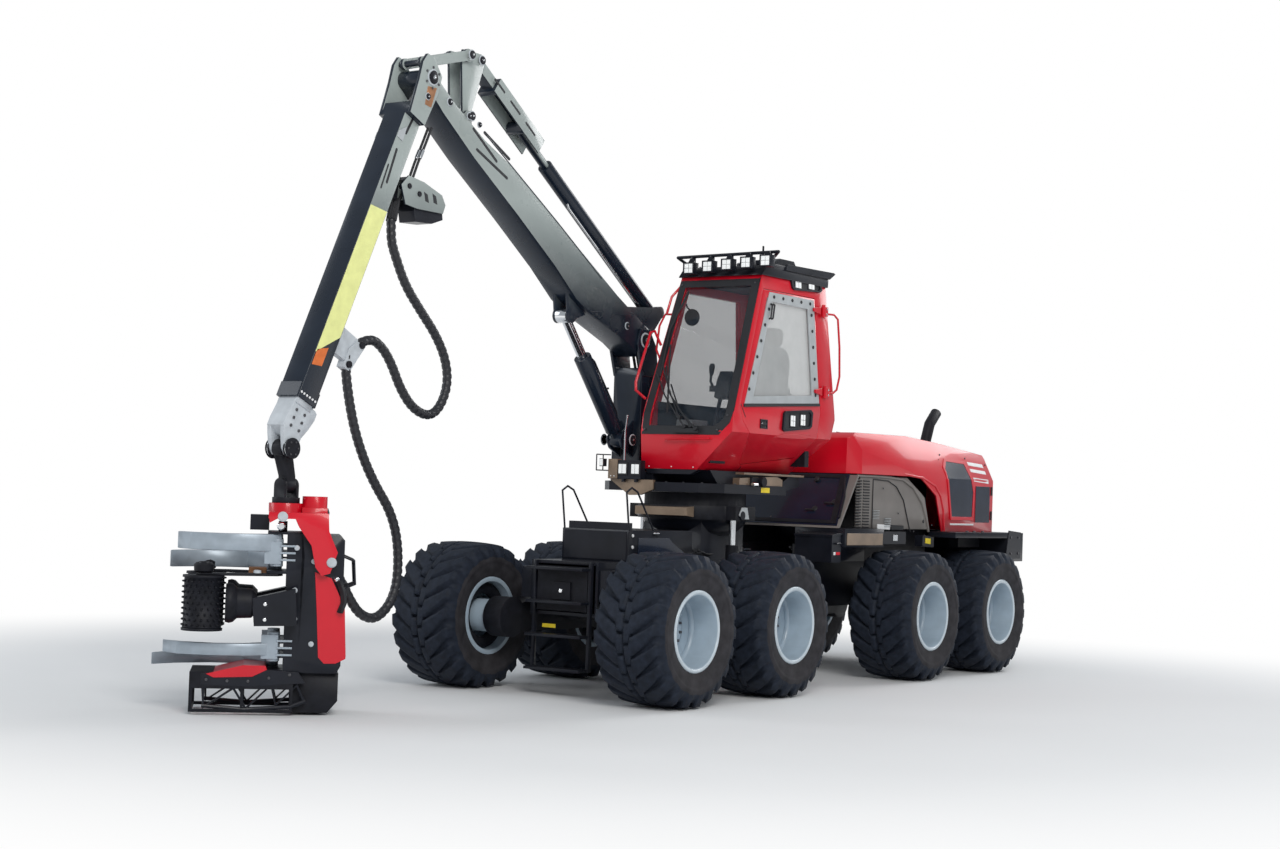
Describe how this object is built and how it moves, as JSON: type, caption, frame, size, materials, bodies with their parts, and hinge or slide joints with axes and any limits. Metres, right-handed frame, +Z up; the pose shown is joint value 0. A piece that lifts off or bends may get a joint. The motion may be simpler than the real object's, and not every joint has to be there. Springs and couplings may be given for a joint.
{
  "type": "forestry harvester",
  "caption": "Articulated wheeled tree harvester with a slewing cab and crane, telescopic stick and a felling head with knives, feed rollers and a saw box.",
  "frame": {"origin": "middle of the whole machine's footprint, on the ground under the tyres", "axes": "+X forward to the felling head, +Y to the machine's left, +Z up"},
  "size_m": [10.8496, 2.99, 5.7026],
  "materials": {
    "tyre": "matte",
    "rim": "satin",
    "frame_black": "satin",
    "engine": "satin",
    "panel_grey": "satin",
    "red": "gloss",
    "crane_black": "gloss",
    "glass": "clear",
    "seat": "matte",
    "chrome": "polished",
    "light_grey": "satin",
    "knife_steel": "satin"
  },
  "bodies": {
    "wheel_1_left": {"tyre_1_left": "tyre", "rim_1_left": "rim"},
    "wheel_1_right": {"tyre_1_right": "tyre", "rim_1_right": "rim"},
    "wheel_2_left": {"tyre_2_left": "tyre", "rim_2_left": "rim"},
    "wheel_2_right": {"tyre_2_right": "tyre", "rim_2_right": "rim"},
    "wheel_3_left": {"tyre_3_left": "tyre", "rim_3_left": "rim"},
    "wheel_3_right": {"tyre_3_right": "tyre", "rim_3_right": "rim"},
    "wheel_4_left": {"tyre_4_left": "tyre", "rim_4_left": "rim"},
    "wheel_4_right": {"tyre_4_right": "tyre", "rim_4_right": "rim"},
    "front_body": {"front_frame": "frame_black", "front_bogies": "frame_black", "front_box": "frame_black", "slew_base": "frame_black"},
    "rear_body": {"rear_frame": "frame_black", "rear_bogies": "frame_black", "rear_bumper": "frame_black", "engine_block": "engine", "body_panels": "panel_grey"},
    "hood_lid": {"hood": "red", "exhaust": "frame_black"},
    "upper": {"slew_platform": "frame_black", "crane_post": "crane_black", "cab_shell": "red", "cab_roof": "red", "cab_glass": "glass", "operator_seat": "seat", "light_bar": "frame_black"},
    "door": {"cab_door": "red", "door_glass": "glass"},
    "boom": {"boom": "crane_black"},
    "lift_barrel": {"lift_cylinder_barrel": "crane_black"},
    "lift_rod": {"lift_cylinder_rod": "chrome"},
    "bar_lower": {"bar_barrel": "crane_black"},
    "bar_upper": {"bar_fork": "crane_black"},
    "rocker": {"rocker": "crane_black"},
    "coupler": {"coupler": "crane_black"},
    "stick": {"stick": "crane_black"},
    "extension": {"extension": "light_grey"},
    "link": {"tip_link": "frame_black"},
    "crosshead": {"crosshead": "frame_black"},
    "head_bracket": {"rotator_bracket": "frame_black"},
    "head": {"head_frame": "red", "saw_box": "red"},
    "knife_upper_left": {"knife_upper_left": "knife_steel"},
    "knife_upper_right": {"knife_upper_right": "knife_steel"},
    "knife_lower_left": {"knife_lower_left": "knife_steel"},
    "knife_lower_right": {"knife_lower_right": "knife_steel"},
    "roller_arm_left": {"roller_arm_left": "frame_black"},
    "feed_roller_left": {"feed_roller_left": "knife_steel"},
    "roller_arm_right": {"roller_arm_right": "frame_black"},
    "feed_roller_right": {"feed_roller_right": "knife_steel"}
  },
  "joints": [
    {"name": "wheel_1_left_spin", "type": "hinge", "parent": "front_body", "child": "wheel_1_left", "pos_m": [1.6962, 1.14, 0.66851], "axis": [0, 1, 0], "continuous": true},
    {"name": "wheel_1_right_spin", "type": "hinge", "parent": "front_body", "child": "wheel_1_right", "pos_m": [1.6962, -1.14, 0.66851], "axis": [0, 1, 0], "continuous": true},
    {"name": "wheel_2_left_spin", "type": "hinge", "parent": "front_body", "child": "wheel_2_left", "pos_m": [0.0542, 1.14, 0.66851], "axis": [0, 1, 0], "continuous": true},
    {"name": "wheel_2_right_spin", "type": "hinge", "parent": "front_body", "child": "wheel_2_right", "pos_m": [0.0542, -1.14, 0.66851], "axis": [0, 1, 0], "continuous": true},
    {"name": "wheel_3_left_spin", "type": "hinge", "parent": "rear_body", "child": "wheel_3_left", "pos_m": [-2.7593, 1.14, 0.66851], "axis": [0, 1, 0], "continuous": true},
    {"name": "wheel_3_right_spin", "type": "hinge", "parent": "rear_body", "child": "wheel_3_right", "pos_m": [-2.7593, -1.14, 0.66851], "axis": [0, 1, 0], "continuous": true},
    {"name": "wheel_4_left_spin", "type": "hinge", "parent": "rear_body", "child": "wheel_4_left", "pos_m": [-4.4183, 1.14, 0.66851], "axis": [0, 1, 0], "continuous": true},
    {"name": "wheel_4_right_spin", "type": "hinge", "parent": "rear_body", "child": "wheel_4_right", "pos_m": [-4.4183, -1.14, 0.66851], "axis": [0, 1, 0], "continuous": true},
    {"name": "steering", "type": "hinge", "parent": "front_body", "child": "rear_body", "pos_m": [-1.3548, 0, 0.96351], "axis": [0, 0, 1], "range_deg": [-34, 34]},
    {"name": "hood_hinge", "type": "hinge", "parent": "rear_body", "child": "hood_lid", "pos_m": [-5.2148, 0, 1.62851], "axis": [0, -1, 0], "range_deg": [0, 50]},
    {"name": "slew", "type": "hinge", "parent": "front_body", "child": "upper", "pos_m": [-0.4248, 0, 1.86351], "axis": [0, 0, 1], "range_deg": [-110, 110]},
    {"name": "door_hinge", "type": "hinge", "parent": "upper", "child": "door", "pos_m": [-1.4148, 0.808, 2.79851], "axis": [0, 0, 1], "range_deg": [0, 75]},
    {"name": "boom_lift", "type": "hinge", "parent": "upper", "child": "boom", "pos_m": [-0.1048, -0.62, 3.34851], "axis": [0, -1, 0], "range_deg": [-25, 32]},
    {"name": "lift_barrel_pivot", "type": "hinge", "parent": "upper", "child": "lift_barrel", "pos_m": [0.0452, -0.62, 2.35851], "axis": [0, -1, 0], "range_deg": [-20, 24]},
    {"name": "lift_rod_slide", "type": "slide", "parent": "lift_barrel", "child": "lift_rod", "axis": [0.6401, 0, 0.7683], "range_m": [-0.36, 0.45]},
    {"name": "stick_fold", "type": "hinge", "parent": "boom", "child": "stick", "pos_m": [3.21591, -0.62, 5.33591], "axis": [0, 1, 0], "range_deg": [-60, 18]},
    {"name": "rocker_pivot", "type": "hinge", "parent": "boom", "child": "rocker", "pos_m": [2.64105, -0.62, 5.10666], "axis": [0, 1, 0], "range_deg": [-16.59, 5.33]},
    {"name": "coupler_pivot", "type": "hinge", "parent": "rocker", "child": "coupler", "pos_m": [2.67205, -0.62, 5.64466], "axis": [0, 1, 0], "range_deg": [-5.3, 16.5]},
    {"name": "bar_pivot", "type": "hinge", "parent": "boom", "child": "bar_lower", "pos_m": [-0.46031, -0.62, 3.66017], "axis": [0, 1, 0], "range_deg": [-0.99, 0.65]},
    {"name": "bar_slide", "type": "slide", "parent": "bar_lower", "child": "bar_upper", "axis": [0.8288, 0, 0.5596], "range_m": [-0.157, 0.054]},
    {"name": "extension_slide", "type": "slide", "parent": "stick", "child": "extension", "axis": [0.4179, 0, -0.9085], "range_m": [0, 1.2]},
    {"name": "link_pitch", "type": "hinge", "parent": "extension", "child": "link", "pos_m": [4.65512, -0.62, 2.09917], "axis": [0, 1, 0], "range_deg": [-50, 38]},
    {"name": "link_roll", "type": "hinge", "parent": "link", "child": "crosshead", "pos_m": [4.59512, -0.62, 1.80417], "axis": [1, 0, 0], "range_deg": [-20, 20]},
    {"name": "rotator", "type": "hinge", "parent": "crosshead", "child": "head_bracket", "pos_m": [4.59512, -0.62, 1.66417], "axis": [0, 0, 1], "continuous": true},
    {"name": "head_tilt", "type": "hinge", "parent": "head_bracket", "child": "head", "pos_m": [4.3745, -0.39938, 1.18817], "axis": [0.7071, 0.7071, 0], "range_deg": [0, 85]},
    {"name": "upper_knives", "type": "hinge", "parent": "head", "child": "knife_upper_left", "pos_m": [4.76482, -0.53515, 1.27317], "axis": [0, 0, -1], "range_deg": [-35, 20]},
    {"name": "upper_knives_right", "type": "hinge", "parent": "head", "child": "knife_upper_right", "pos_m": [4.51026, -0.78971, 1.27317], "axis": [0, 0, 1], "range_deg": [-36, 21]},
    {"name": "lower_knives", "type": "hinge", "parent": "head", "child": "knife_lower_left", "pos_m": [4.76482, -0.53515, 0.45817], "axis": [0, 0, -1], "range_deg": [-35, 20]},
    {"name": "lower_knives_right", "type": "hinge", "parent": "head", "child": "knife_lower_right", "pos_m": [4.51026, -0.78971, 0.45817], "axis": [0, 0, 1], "range_deg": [-36, 21]},
    {"name": "roller_arms", "type": "hinge", "parent": "head", "child": "roller_arm_left", "pos_m": [4.78604, -0.51393, 1.09817], "axis": [0, 0, -1], "range_deg": [-25, 14]},
    {"name": "roller_arms_right", "type": "hinge", "parent": "head", "child": "roller_arm_right", "pos_m": [4.48905, -0.81092, 1.09817], "axis": [0, 0, 1], "range_deg": [-26, 15]},
    {"name": "feed_roller_left_spin", "type": "hinge", "parent": "roller_arm_left", "child": "feed_roller_left", "pos_m": [5.2598, -0.81799, 0.87317], "axis": [0, 0, 1], "continuous": true},
    {"name": "feed_roller_right_spin", "type": "hinge", "parent": "roller_arm_right", "child": "feed_roller_right", "pos_m": [4.79311, -1.28468, 0.87317], "axis": [0, 0, 1], "continuous": true}
  ],
  "couplings": [
    {"joint": "lift_barrel_pivot", "follows": "boom_lift", "ratio": 0.5502},
    {"joint": "lift_rod_slide", "follows": "boom_lift", "m_per_rad": 0.711},
    {"joint": "rocker_pivot", "follows": "stick_fold", "ratio": 0.2554},
    {"joint": "coupler_pivot", "follows": "stick_fold", "ratio": -0.2539},
    {"joint": "bar_pivot", "follows": "stick_fold", "ratio": 0.0077},
    {"joint": "bar_slide", "follows": "stick_fold", "m_per_rad": 0.1399},
    {"joint": "upper_knives_right", "follows": "upper_knives", "ratio": 1},
    {"joint": "lower_knives_right", "follows": "lower_knives", "ratio": 1},
    {"joint": "roller_arms_right", "follows": "roller_arms", "ratio": 1}
  ]
}
